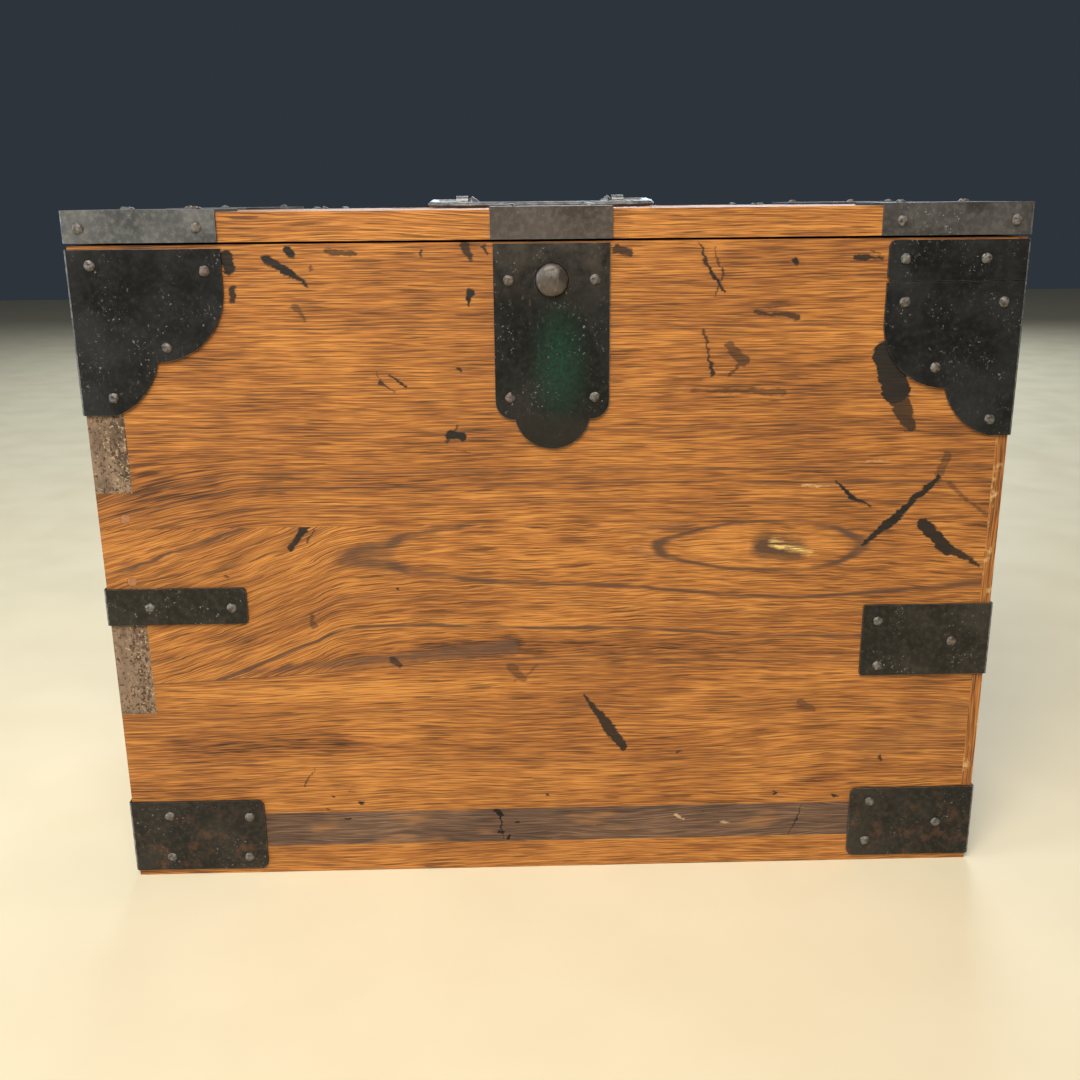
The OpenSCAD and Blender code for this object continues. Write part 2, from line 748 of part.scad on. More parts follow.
// The lid's leaf has one middle knuckle, and a heel on it that meets the body leaf at full opening.
module hinge_lid_leaf(x) {
    half = middle_w / 2;
    clear_z = hinge_z + knuckle_r + knuckle_gap;
    color(IRON) translate([x, 0, 0]) difference() {
        union() {
            block([-hinge_w / 2, back_y, clear_z], [hinge_w / 2, back_y + hinge_t, lid_top]);
            block([-half, back_y, hinge_z], [half, back_y + hinge_t, lid_top]);
            lid_leaf_top(hinge_t);
            knuckle(-half, half);
            hinge_heel(half);
        }
        pin_bore(run_fit);
        lid_leaf_nails() nail_shank(hinge_t, cut);
    }
}

// The heel is drawn where it stops, against the body leaf, and turned back to the closed lid.
module hinge_heel(half) {
    leaf_face = back_y + hinge_t - hinge_y + side_play;
    translate([0, hinge_y, hinge_z]) rotate([lid_open, 0, 0])
        block([-half, leaf_face, -knuckle_r - 5], [half, leaf_face + 2.5, -knuckle_r + 1.5]);
}

module hinge_body_leaf_left() hinge_body_leaf(-hinge_x);
module hinge_body_leaf_right() hinge_body_leaf(hinge_x);
module hinge_lid_leaf_left() hinge_lid_leaf(-hinge_x);
module hinge_lid_leaf_right() hinge_lid_leaf(hinge_x);

module hinge_pin(x) {
    color(BARE_IRON) translate([x - hinge_w / 2 - 0.6, hinge_y, hinge_z]) rotate([0, 90, 0])
        cylinder(d = hinge_pin_d, h = hinge_w + 1.2);
}

module hinge_pin_left() hinge_pin(-hinge_x);
module hinge_pin_right() hinge_pin(hinge_x);
module hinge_nails() color(BARE_IRON) hinge_places() body_leaf_nails() nail(hinge_t);

// ---------------------------------------------------------------- nodes

base_board();
front_upper_board();
front_lower_board();
front_bottom_strip();
back_upper_board();
back_lower_board();
left_board();
right_board();
wooden_pegs();
top_plate_front_left();
top_plate_front_right();
top_strap_front_right();
top_plate_back_left();
top_plate_back_right();
middle_strap_front_left();
middle_plate_front_right();
middle_strap_back_left();
middle_strap_back_right();
bottom_plate_front_left();
bottom_plate_front_right();
bottom_plate_back_left();
bottom_plate_back_right();
lock_plate();
front_nails();
back_nails();
left_nails();
right_nails();
push_stud();
stud_collar();
catch_spring();
catch_block();
catch_nails();
lid_board();
hopper_front_board();
hopper_back_board();
hopper_left_end();
hopper_right_end();
coin_slot_plate();
slot_plate_nails();
lid_plate_front_left();
lid_plate_front_right();
lid_plate_back_left();
lid_plate_back_right();
lid_strap();
lid_keeper();
lid_nails();
handle_bail();
handle_post_left();
handle_post_right();
hinge_body_leaf_left();
hinge_body_leaf_right();
hinge_lid_leaf_left();
hinge_lid_leaf_right();
hinge_pin_left();
hinge_pin_right();
hinge_nails();
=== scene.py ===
"""Wooden money box bound in black iron: the look of each piece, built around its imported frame."""

import json
import math

import bpy
from mathutils import Matrix, Vector

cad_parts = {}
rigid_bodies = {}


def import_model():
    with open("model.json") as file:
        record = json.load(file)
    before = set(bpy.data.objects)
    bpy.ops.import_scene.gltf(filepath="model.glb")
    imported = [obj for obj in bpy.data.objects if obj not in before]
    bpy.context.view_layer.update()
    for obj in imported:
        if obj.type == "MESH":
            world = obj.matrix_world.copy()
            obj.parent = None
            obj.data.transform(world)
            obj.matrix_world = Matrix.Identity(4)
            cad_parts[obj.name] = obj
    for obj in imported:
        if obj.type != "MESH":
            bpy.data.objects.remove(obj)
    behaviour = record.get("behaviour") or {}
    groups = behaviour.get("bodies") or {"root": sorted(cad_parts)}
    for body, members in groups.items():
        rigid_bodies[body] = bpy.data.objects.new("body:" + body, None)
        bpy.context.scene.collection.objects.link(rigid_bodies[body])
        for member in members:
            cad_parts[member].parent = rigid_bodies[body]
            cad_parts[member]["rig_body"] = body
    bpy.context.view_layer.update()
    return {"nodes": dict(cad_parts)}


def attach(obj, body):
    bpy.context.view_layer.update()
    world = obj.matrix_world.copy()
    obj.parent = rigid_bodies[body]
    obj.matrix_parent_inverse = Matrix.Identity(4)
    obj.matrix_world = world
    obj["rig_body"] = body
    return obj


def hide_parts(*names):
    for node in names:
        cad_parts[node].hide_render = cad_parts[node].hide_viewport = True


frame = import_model()
MM = 0.001


# ------------------------------------------------------------------ table and light
# The box stands on a plain pale table top. A broad lamp hangs high in front of it, a smaller and
# bluer one stands at the left like a window, a third like a pale sky hangs behind it, and the air
# around is a dim grey blue.

class Finish:
    """A finish as it is laid on a piece: its pattern is set out in millimetres on the piece."""

    def __init__(self, name):
        self.material = bpy.data.materials.new(name)
        self.material.use_nodes = True
        self.tree = self.material.node_tree
        self.tree.nodes.clear()
        self.skin = self.add("ShaderNodeBsdfPrincipled")
        out = self.add("ShaderNodeOutputMaterial")
        self.tree.links.new(self.skin.outputs[0], out.inputs[0])
        metres = self.add("ShaderNodeTexCoord").outputs["Object"]
        self.place = self.moved(metres, "SCALE", 1 / MM)
        self.x, self.y, self.z = self.axes(self.place)
        self.ragged_place = None
        self.colour = None

    def add(self, kind, **settings):
        node = self.tree.nodes.new(kind)
        for key, value in settings.items():
            setattr(node, key, value)
        return node

    def give(self, socket, value):
        """Joins a socket to another, or sets its plain value."""
        if isinstance(value, bpy.types.NodeSocket):
            self.tree.links.new(value, socket)
        else:
            socket.default_value = value

    def maths(self, operation, *values, clamp=False):
        node = self.add("ShaderNodeMath", operation=operation, use_clamp=clamp)
        for socket, value in zip(node.inputs, values):
            self.give(socket, value)
        return node.outputs[0]

    def times(self, a, b):
        return self.maths("MULTIPLY", a, b)

    def plus(self, a, b):
        return self.maths("ADD", a, b)

    def moved(self, vector, operation, value=(0, 0, 0)):
        node = self.add("ShaderNodeVectorMath", operation=operation)
        self.give(node.inputs[0], vector)
        self.give(node.inputs["Scale" if operation == "SCALE" else 1], value)
        return node.outputs["Value" if operation == "LENGTH" else "Vector"]

    def axes(self, vector):
        node = self.add("ShaderNodeSeparateXYZ")
        self.give(node.inputs[0], vector)
        return node.outputs

    def point(self, *values):
        node = self.add("ShaderNodeCombineXYZ")
        for socket, value in zip(node.inputs, values):
            self.give(socket, value)
        return node.outputs[0]

    def cloud(self, vector, pitch, detail=2.0, rough=0.5, colour=False):
        """Soft random shapes about so many millimetres apart."""
        node = self.add("ShaderNodeTexNoise")
        self.give(node.inputs["Vector"], vector)
        self.give(node.inputs["Scale"], 1.0 / pitch)
        self.give(node.inputs["Detail"], detail)
        self.give(node.inputs["Roughness"], rough)
        return node.outputs["Color" if colour else "Fac"]

    def fade(self, value, low, high, to_low=0.0, to_high=1.0):
        """Goes smoothly from one value to another as something passes from low to high."""
        node = self.add("ShaderNodeMapRange", interpolation_type="SMOOTHSTEP")
        for key, number in zip(("Value", "From Min", "From Max", "To Min", "To Max"),
                               (value, low, high, to_low, to_high)):
            self.give(node.inputs[key], number)
        return node.outputs["Result"]

    def between(self, share, a, b):
        """A plain value that goes from a to b as the share goes from nought to one."""
        node = self.add("ShaderNodeMix", data_type="FLOAT")
        for socket, value in zip((node.inputs[0], node.inputs[2], node.inputs[3]), (share, a, b)):
            self.give(socket, value)
        return node.outputs[0]

    def blend(self, share, a, b):
        """The same for two colours."""
        node = self.add("ShaderNodeMix", data_type="RGBA")
        self.give(node.inputs[0], share)
        for socket, colour in ((node.inputs[6], a), (node.inputs[7], b)):
            self.give(socket, colour if isinstance(colour, bpy.types.NodeSocket) else (*colour, 1.0))
        return node.outputs[2]

    def shades(self, value, *steps):
        """Colours passed through as a value grows: each step is (value, colour)."""
        node = self.add("ShaderNodeValToRGB")
        stops = node.color_ramp.elements
        while len(stops) < len(steps):
            stops.new(1.0)
        for stop, (place, colour) in zip(stops, steps):
            stop.position = place
            stop.color = (*colour, 1.0)
        self.give(node.inputs[0], value)
        return node.outputs[0]

    def two_tone(self, value, dark, light):
        return self.shades(value, (0.35, dark), (0.65, light))

    def curve(self, value, *points):
        """A line through given points: points are (place, height), and value runs from first place to last.
        """
        low, high = points[0][0], points[-1][0]
        heights = [height for _, height in points]
        base, span = min(heights), max(max(heights) - min(heights), 1e-6)
        along = self.add("ShaderNodeMapRange")
        for key, number in zip(("Value", "From Min", "From Max"), (value, low, high)):
            self.give(along.inputs[key], number)
        node = self.add("ShaderNodeFloatCurve")
        line = node.mapping.curves[0]
        while len(line.points) < len(points):
            line.points.new(0.5, 0.5)
        for stop, (place, height) in zip(line.points, points):
            stop.location = ((place - low) / (high - low), (height - base) / span)
        node.mapping.update()
        self.give(node.inputs["Value"], along.outputs["Result"])
        return self.maths("MULTIPLY_ADD", node.outputs[0], span, base)

    def relief(self, height, depth, share=1.0):
        """Raises the surface by so many millimetres where height is one."""
        node = self.add("ShaderNodeBump")
        self.give(node.inputs["Height"], height)
        node.inputs["Distance"].default_value = depth * MM
        node.inputs["Strength"].default_value = share
        self.give(self.skin.inputs["Normal"], node.outputs[0])

    def coat(self, colour, roughness, metallic=0.0, gloss=0.5):
        self.colour = colour
        self.give(self.skin.inputs["Base Color"], colour)
        self.give(self.skin.inputs["Roughness"], roughness)
        self.skin.inputs["Metallic"].default_value = metallic
        self.skin.inputs["Specular IOR Level"].default_value = gloss
        return self.material


def select_only(piece):
    bpy.ops.object.select_all(action="DESELECT")
    piece.select_set(True)
    bpy.context.view_layer.objects.active = piece


TABLE_SIZE = 7.0
table_paint = Finish("table_paint")
table_grain = table_paint.cloud(table_paint.place, 60.0, 3.0)
table_paint.coat(
    table_paint.two_tone(table_grain, (0.765, 0.665, 0.455), (0.785, 0.685, 0.475)),
    table_paint.fade(table_grain, 0.3, 0.7, 0.42, 0.50),
)
bpy.ops.mesh.primitive_plane_add(size=TABLE_SIZE, location=(0, 0, -0.0002))
table = bpy.context.object
table.name = "table_top"
table.data.materials.append(table_paint.material)

air = bpy.data.worlds.new("dim_room")
bpy.context.scene.world = air
air.use_nodes = True
backdrop = air.node_tree.nodes["Background"].inputs
backdrop["Color"].default_value = (0.55, 0.72, 0.92, 1.0)
backdrop["Strength"].default_value = 0.048
bpy.context.scene.view_settings.view_transform = "Standard"


def hang_lamp(name, place, aim, width, power, colour):
    bpy.ops.object.light_add(type="AREA", location=place)
    lamp = bpy.context.object
    lamp.name = name
    lamp.data.size = width
    lamp.data.energy = power
    lamp.data.color = colour
    lamp.rotation_euler = (Vector(aim) - Vector(place)).to_track_quat("-Z", "Y").to_euler()


hang_lamp("front_lamp", place=(-0.25, -1.10, 1.45), aim=(0, -0.05, 0.12), width=1.1, power=40.0,
          colour=(1.0, 0.955, 0.885))
hang_lamp("window_lamp", place=(-1.7, -0.45, 0.80), aim=(0, 0, 0.15), width=0.9, power=18.0,
          colour=(0.74, 0.86, 1.0))
hang_lamp("sky_lamp", place=(0.2, 1.9, 1.25), aim=(0, 0, 0.20), width=1.5, power=34.0,
          colour=(0.76, 0.88, 1.0))

eye_place = Vector((-0.0169, -0.6066, 0.3101))
eye_turn, eye_tilt, eye_roll = math.radians(-1.26), math.radians(90 - 16.22), math.radians(-0.54)
bpy.ops.object.camera_add()
camera = bpy.context.object
camera.data.sensor_width = 36.0
camera.data.lens = 38.83
camera.data.clip_start = 0.01
camera.matrix_world = (
    Matrix.Translation(eye_place)
    @ Matrix.Rotation(eye_turn, 4, "Z")
    @ Matrix.Rotation(eye_tilt, 4, "X")
    @ Matrix.Rotation(eye_roll, 4, "Z")
)
bpy.context.scene.camera = camera


# ------------------------------------------------------------------ wooden walls
# Four walls of an oiled, coarse-ringed hardwood, planed by hand and joined at the left corners by fingers,
# with a glued seam across the front. The wood is dark with handling, and scored and stained. Its arrises
# are worn round. On the front planks they are darkened nearly to black, partly with dirt and partly as
# painted shade in the seams.

OLD_OIL = (0.048, 0.021, 0.010)
BROWN = (0.232, 0.086, 0.023)
TAN = (0.365, 0.132, 0.029)
AMBER = (0.580, 0.245, 0.055)
DARK_RING = (0.090, 0.046, 0.027)
STAIN = (0.014, 0.013, 0.011)
WORN_WOOD = (0.62, 0.40, 0.17)
FRONT_FACE = 107.5  # from the middle of the box, in millimetres


def grain_colours(f, along, ring, deep, warmth=0.0, fine=None):
    """The figure of a plank: broad rings, and fine streaks and open pores that run with the fibres."""
    fibre = ring if fine is None else fine
    broad = f.cloud(f.point(f.times(along, 0.012), ring, deep), 7.0, 2.0)
    band = f.cloud(f.point(f.times(along, 0.022), ring, deep), 2.7, 2.0, 0.55)
    streak = f.cloud(f.point(f.times(along, 0.030), fibre, f.times(deep, 0.6)), 0.62, 2.0, 0.6)
    pore = f.cloud(f.point(f.times(along, 0.022), fibre, deep), 0.50, 1.0)
    haze = f.cloud(f.moved(f.place, "MULTIPLY", (0.5, 0.5, 1.0)), 30.0, 3.0, 0.55)
    tone = f.times(f.fade(broad, 0.36, 0.64), 0.13)
    tone = f.plus(tone, f.times(f.fade(band, 0.36, 0.64), 0.12))
    tone = f.plus(tone, f.times(f.fade(streak, 0.37, 0.63), 0.50))
    tone = f.plus(tone, f.times(f.fade(haze, 0.3, 0.7), 0.24))
    return f.plus(tone, warmth), pore, streak


def stroke_group():
    """Node group: the share of a tapered stroke between two points of the wall's face."""
    if "tapered_stroke" in bpy.data.node_groups:
        return bpy.data.node_groups["tapered_stroke"]
    tree = bpy.data.node_groups.new("tapered_stroke", "ShaderNodeTree")
    for name, kind in (("Place", "Vector"), ("From", "Vector"), ("To", "Vector"),
                       ("Start width", "Float"), ("End width", "Float"), ("Spread", "Float")):
        tree.interface.new_socket(name, in_out="INPUT", socket_type="NodeSocket" + kind)
    tree.interface.new_socket("Share", in_out="OUTPUT", socket_type="NodeSocketFloat")
    given, out = tree.nodes.new("NodeGroupInput"), tree.nodes.new("NodeGroupOutput")

    def vector(operation, a, b):
        node = tree.nodes.new("ShaderNodeVectorMath")
        node.operation = operation
        tree.links.new(a, node.inputs[0])
        tree.links.new(b, node.inputs["Scale" if operation == "SCALE" else 1])
        return node.outputs["Value" if operation in ("DOT_PRODUCT", "DISTANCE") else "Vector"]

    def number(operation, a, b, clamp=False):
        node = tree.nodes.new("ShaderNodeMath")
        node.operation, node.use_clamp = operation, clamp
        for socket, value in zip(node.inputs, (a, b)):
            if isinstance(value, bpy.types.NodeSocket):
                tree.links.new(value, socket)
            else:
                socket.default_value = value
        return node.outputs[0]

    place, start, end, wide_start, wide_end, spread = given.outputs[:6]
    run = vector("SUBTRACT", end, start)
    way = vector("SUBTRACT", place, start)
    share = number("DIVIDE", vector("DOT_PRODUCT", way, run), vector("DOT_PRODUCT", run, run), clamp=True)
    off = vector("DISTANCE", way, vector("SCALE", run, share))
    width = number("ADD", wide_start, number("MULTIPLY", number("SUBTRACT", wide_end, wide_start), share))
    inside = number("DIVIDE", number("SUBTRACT", width, off), spread, clamp=True)
    tree.links.new(inside, out.inputs[0])
    return tree


def ink_strokes(f, marks, spread=0.9):
    """Stains, burns and scores. Each mark is (from, to, width at start, width at end, strength)."""
    if f.ragged_place is None:
        jag = f.cloud(f.moved(f.place, "MULTIPLY", (0.45, 1, 1)), 3.2, 3.0, 0.7, colour=True)
        jag = f.moved(f.moved(jag, "SUBTRACT", (0.5, 0.5, 0.5)), "SCALE", 5.0)
        f.ragged_place = f.moved(f.moved(f.place, "ADD", jag), "MULTIPLY", (1, 0, 1))
    stained = 0.0
    for start, end, wide_start, wide_end, strength in marks:
        stroke = f.add("ShaderNodeGroup")
        stroke.node_tree = stroke_group()
        f.give(stroke.inputs["Place"], f.ragged_place)
        stroke.inputs["From"].default_value = (start[0], 0, start[1])
        stroke.inputs["To"].default_value = (end[0], 0, end[1])
        stroke.inputs["Start width"].default_value = wide_start
        stroke.inputs["End width"].default_value = wide_end
        stroke.inputs["Spread"].default_value = spread
        share = f.times(stroke.outputs[0], strength)
        stained = f.maths("MAXIMUM", share, stained)
    return stained


FLECK_RIM = 2.0  # a tint with a narrower rim than this is broken up into flecks


def oil_wood(f, along, ring, deep, marks=(), soft_marks=(), lines=(), warmth=0.0, wear=0.0,
             tints=(), seam=None, fine=None):
    """Finishes oiled wood whose figure is already set out."""
    tone, pore, streak = grain_colours(f, along, ring, deep, warmth, fine)
    for *stroke, change in soft_marks:
        share = ink_strokes(f, ((*stroke, 1.0),), spread=stroke[2])
        tone = f.maths("MULTIPLY_ADD", share, change, tone)
    colour = f.shades(tone, (0.02, OLD_OIL), (0.24, BROWN), (0.52, TAN), (0.90, AMBER))
    colour = f.blend(f.fade(pore, 0.55, 0.62, 0.0, 0.68), colour, OLD_OIL)
    for level, width, strength in lines:
        near = f.maths("ABSOLUTE", f.maths("SUBTRACT", ring, level))
        broken = f.fade(f.cloud(f.point(f.times(along, 0.25), ring, deep), 6.0, 2.0), 0.3, 0.55, 0.35, 1.0)
        line = f.times(f.fade(near, width, 0.15 * width, 0.0, strength), broken)
        colour = f.blend(line, colour, DARK_RING)
    for stroke, spread, tint in tints:
        share = ink_strokes(f, (stroke,), spread)
        if spread < FLECK_RIM:
            share = f.times(share, f.fade(pore, 0.40, 0.52))
        colour = f.blend(share, colour, tint)
    if seam is not None:
        crack = f.fade(f.maths("ABSOLUTE", f.maths("SUBTRACT", seam, f.z)), 0.45, 0.1, 0.0, 0.75)
        colour = f.blend(crack, colour, DARK_RING)
    if wear:
        worn = f.fade(f.cloud(f.place, 9.0, 3.0, 0.65), 0.62 - 0.25 * wear, 0.74 - 0.2 * wear)
        colour = f.blend(f.times(worn, 0.8), colour, WORN_WOOD)
    if marks:
        stained = f.maths("MULTIPLY", ink_strokes(f, marks, spread=0.7), 1.12, clamp=True)
        held = f.fade(streak, 0.30, 0.55, 0.90, 1.0)
        colour = f.blend(f.times(stained, held), colour, STAIN)
    across = f.x if along is f.z else f.z
    f.relief(f.cloud(f.point(f.times(along, 0.03), across, deep), 0.6, 1.0), 0.3, 0.5)
    return f.coat(colour, f.fade(tone, 0.2, 0.9, 0.60, 0.46), gloss=0.28)


def plain_oiled(name, run="x", **more):
    """Oiled wood with a straight figure that runs along the named way."""
    f = Finish(name)
    along, deep = (f.x, f.y) if run == "x" else (f.y, f.x) if run == "y" else (f.z, f.y)
    up = f.x if run == "z" else f.z
    sway = f.cloud(f.point(f.times(along, 0.20), f.times(up, 0.6), f.times(deep, 0.5)), 42.0, 2.0)
    ring = f.plus(up, f.maths("MULTIPLY_ADD", sway, 20.0, -10.0))
    return oil_wood(f, along, ring, deep, **more)


def sawn_end(name, light, dark):
    """End grain: grey brown and full of open pores, with dirt in them and a few pale flecks."""
    f = Finish(name)
    pits = f.cloud(f.moved(f.place, "MULTIPLY", (1.0, 1.0, 0.8)), 1.2, 3.0, 0.7)
    rings = f.cloud(f.moved(f.place, "MULTIPLY", (1.0, 1.0, 0.35)), 6.0, 3.0, 0.6)
    dirt = f.cloud(f.place, 14.0, 3.0, 0.65)
    coarse = f.fade(f.x, -194.5, -189.0, 0.0, 0.055)
    colour = f.shades(rings, (0.32, dark), (0.68, light))
    colour = f.blend(f.fade(f.plus(pits, coarse), 0.53, 0.64, 0.0, 0.88), colour, OLD_OIL)
    colour = f.blend(f.fade(dirt, 0.48, 0.70, 0.0, 0.70), colour, (0.060, 0.040, 0.027))
    flecks = f.cloud(f.point(f.x, f.y, f.plus(f.z, 90.0)), 1.5, 2.0, 0.75)
    colour = f.blend(f.fade(f.plus(flecks, coarse), 0.64, 0.70, 0.0, 0.75), colour, (0.50, 0.38, 0.21))
    f.relief(pits, -0.6, 0.8)
    return f.coat(colour, 0.75, gloss=0.25)


# The upper front plank has a straight, close figure that dips at its lower left, and most stains.
f = Finish("oiled_upper_front")
dip = f.times(f.curve(f.x, (-200, 15), (-182, 10), (-150, 3.5), (-120, 0), (200, 0)),
              f.fade(f.z, 212, 184))
sway = f.cloud(f.moved(f.place, "MULTIPLY", (0.16, 0.5, 0.7)), 40.0, 2.0)
upper_ring = f.plus(f.plus(f.z, dip), f.maths("MULTIPLY_ADD", sway, 8.0, -4.0))
UPPER_MARKS = (
    ((-109, 292), (-108, 290), 2.2, 2.2, 0.9),  # a tack's black ring at the rim
    ((-119, 288), (-110, 283), 2.1, 2.0, 0.95), ((-110, 283), (-102, 277), 2.0, 0.8, 0.95),
    ((-93, 291), (-82, 290), 1.6, 1.2, 0.7), ((-54, 291), (-54, 289), 1.0, 0.8, 0.8),
    ((-36, 292), (-33, 287), 2.4, 1.0, 0.8), ((-28, 292), (-27, 290), 1.2, 1.0, 0.8),
    ((-34, 274), (-35, 268), 2.0, 0.6, 0.9), ((-135, 289), (-134, 284), 3.0, 2.6, 0.95),
    ((-133, 276), (-134, 271), 1.8, 1.4, 0.85), ((-75, 241), (-73, 235), 0.5, 0.5, 0.8),
    ((-74, 236), (-68, 232), 1.1, 0.5, 0.85), ((-69, 240), (-63, 234), 0.9, 1.0, 0.85),
    ((-45, 213), (-39, 212), 2.0, 2.2, 0.9), ((-46, 210), (-41, 217), 1.0, 0.9, 0.7),
    ((-40, 242), (-39, 240), 1.0, 0.8, 0.85), ((-108, 268), (-103, 262), 1.8, 0.6, 0.5),
    ((-100, 285), (-101, 283), 1.0, 0.8, 0.6), ((27, 291), (33, 289), 2.2, 1.4, 0.8),
    ((62, 293), (66, 282), 0.6, 1.2, 0.85), ((66, 282), (73, 273), 1.2, 0.9, 0.9),
    ((68, 291), (72, 280), 0.5, 0.8, 0.8), ((72, 280), (69, 271), 0.8, 0.6, 0.75),
    ((86, 264), (104, 262), 0.8, 1.9, 0.75), ((90, 266), (100, 267), 0.5, 0.5, 0.6),
    ((102, 286), (103, 284), 1.7, 1.3, 0.95), ((127, 286), (139, 286), 1.3, 0.9, 0.85),
    ((134, 289), (138, 288), 0.9, 0.6, 0.7), ((65, 257), (67, 247), 0.9, 0.8, 0.75),
    ((67, 247), (69, 238), 0.8, 1.3, 0.85), ((76, 250), (82, 243), 2.6, 2.8, 0.6),
    ((82, 243), (76, 237), 1.4, 0.8, 0.6), ((60, 231), (100, 230), 1.0, 1.6, 0.5),
    ((144, 245), (149, 230), 6.6, 6.4, 0.90), ((149, 230), (156, 214), 5.8, 3.0, 0.78),
    ((125, 190), (133, 182), 0.8, 1.5, 0.95), ((133, 182), (142, 178), 1.5, 0.6, 0.95),
    ((174, 200), (170, 189), 2.8, 1.8, 0.45), ((171, 191), (152, 172), 1.5, 2.2, 0.9),
    ((176, 188), (194, 173), 1.4, 1.0, 0.45), ((-42, 206), (-36, 205), 0.6, 0.6, 0.6),
)
UPPER_PATCHES = (
    ((-120, 245), (40, 232), 16.0, 12.0, 0.07), ((90, 205), (180, 215), 20.0, 14.0, -0.10),
    ((-188, 186), (-120, 190), 9.0, 6.0, -0.13), ((-80, 262), (-20, 258), 12.0, 10.0, -0.06),
    ((-30, 196), (60, 196), 7.0, 6.0, -0.07), ((60, 240), (130, 246), 12.0, 10.0, -0.05),
    ((-100, 200), (-60, 203), 9.0, 7.0, 0.08), ((150, 180), (185, 186), 10.0, 9.0, 0.05),
)
oiled_upper = oil_wood(
    f, f.x, upper_ring, f.y, UPPER_MARKS, UPPER_PATCHES,
    lines=((190.0, 0.7, 0.8), (196.5, 0.8, 0.55), (215.0, 0.7, 0.5), (231.0, 0.6, 0.4),
           (259.0, 0.6, 0.55), (181.0, 0.6, 0.6)),
    warmth=0.01,
    tints=((((110, 187.6), (127, 187.8), 0.9, 0.7, 0.55), 0.7, (0.80, 0.58, 0.27)),
           (((138, 198.4), (150, 199.4), 0.6, 0.5, 0.5), 0.6, (0.80, 0.58, 0.27))),
)

# The lower front plank has its heart just under the face, so the rings open in a long tongue and an
# eye. Below a crack that rises to the right the figure is straight.
f = Finish("oiled_lower_front")
heart_z = f.curve(f.x, (-200, 120), (-150, 135), (-110, 150), (-84, 158), (0, 160), (94, 160.5),
                  (200, 158))
heart_deep = f.curve(f.x, (-200, 28), (-151, 23.5), (-84, 19.3), (-32, 14.5), (0, 13), (22, 12),
                     (38, 10.8), (47, 9.0), (58, 7.2), (70, 5.6), (83, 3.7), (99, 3.2), (118, 7.8),
                     (128, 11.4), (138, 14.6), (200, 26))
lean = f.curve(f.x, (-200, -4), (-151, -2.6), (-84, 0), (-10, -1), (47, -2.2), (65, -3.1),
               (83, -4.4), (103, -5.1), (140, -7.7), (200, -11))
wander = f.cloud(f.moved(f.place, "MULTIPLY", (0.35, 0.5, 1.0)), 11.0, 3.0, 0.6)
wander = f.maths("MULTIPLY_ADD", wander, 5.0, -2.5)
off_z = f.plus(f.maths("SUBTRACT", f.z, heart_z), f.times(wander, 0.8))
deep_in = f.plus(heart_deep, f.plus(f.y, FRONT_FACE))
ring = f.maths("SQRT", f.plus(f.times(off_z, off_z), f.times(deep_in, deep_in)))
figured = f.plus(f.plus(ring, lean), f.times(wander, 0.5))
seam = f.curve(f.x, (-200, 98), (-118, 102), (-26, 108), (76, 109.5), (200, 104))
below = f.fade(f.maths("SUBTRACT", seam, f.z), -0.25, 0.25)
straight_sway = f.cloud(f.moved(f.place, "MULTIPLY", (0.2, 0.5, 0.8)), 30.0, 2.0)
straight = f.plus(f.plus(f.z, 200.0), f.maths("MULTIPLY_ADD", straight_sway, 12.0, -6.0))
lower_ring = f.between(below, figured, straight)
fibre_line = f.between(below, f.plus(off_z, 60.0), straight)
LOWER_MARKS = (
    ((-117, 163), (-110, 173), 1.6, 2.0, 0.95), ((-110, 173), (-101, 179), 2.0, 1.3, 0.95),
    ((-101, 179), (-99, 177), 0.9, 0.4, 0.9), ((-109, 166), (-106, 172), 0.9, 0.6, 0.7),
    ((14, 89), (26, 72), 0.9, 3.0, 0.85), ((26, 72), (32, 63), 3.0, 2.2, 0.85),
    ((-110, 131), (-109, 126), 1.0, 1.8, 0.5), ((-118, 46), (-113, 55), 0.8, 0.5, 0.75),
    ((-74, 109), (-71, 106), 2.2, 1.6, 0.7), ((153, 173), (139, 160), 3.1, 0.7, 0.92),
    ((166, 169), (178, 158), 3.2, 3.4, 0.88), ((178, 158), (193, 150), 2.6, 1.0, 0.85),
    ((115, 83), (122, 80), 2.5, 1.6, 0.4), ((-147, 151), (-146, 150), 1.0, 1.0, 0.6),
    ((-20, 104), (-14, 98), 2.5, 2.0, 0.45), ((-18, 97), (-8, 104), 1.0, 1.0, 0.35),
    ((-105, 40), (-104, 40), 0.9, 0.7, 1.0), ((-92, 36), (-91, 36), 1.3, 1.0, 1.0),
    ((-97, 42), (-94, 42), 0.5, 0.4, 1.0), ((-109, 33), (-108, 33), 0.6, 0.5, 0.9),
    ((-4, 38), (-3, 38), 0.8, 0.7, 1.0), ((105, 37), (106, 37), 1.0, 0.8, 1.0),
    ((134, 35), (136, 35), 1.2, 0.9, 1.0), ((58, 59), (60, 60), 0.9, 0.7, 0.8),
    ((155, 55), (156, 53), 1.1, 1.0, 0.8), ((-70, 143), (-69, 142), 0.8, 0.7, 0.9),
)
LOWER_PATCHES = (
    ((-140, 104), (-20, 116), 4.0, 7.0, -0.32), ((-20, 116), (150, 110), 6.5, 4.5, -0.18),
    ((-175, 92), (-30, 95), 5.0, 7.0, 0.26), ((-60, 157), (40, 157), 7.5, 7.0, 0.14),
    ((-95, 157), (-85, 163), 3.0, 3.5, -0.22), ((62, 160), (78, 161), 4.0, 7.5, 0.22),
    ((116, 160), (130, 161), 6.0, 3.0, 0.20), ((-178, 70), (-90, 66), 9.0, 9.0, -0.16),
    ((-90, 46), (110, 44), 5.0, 5.0, 0.16), ((60, 88), (130, 92), 7.0, 8.0, 0.12),
    ((-180, 128), (-140, 120), 9.0, 8.0, -0.16), ((-120, 122), (60, 132), 6.0, 5.0, 0.13),
)
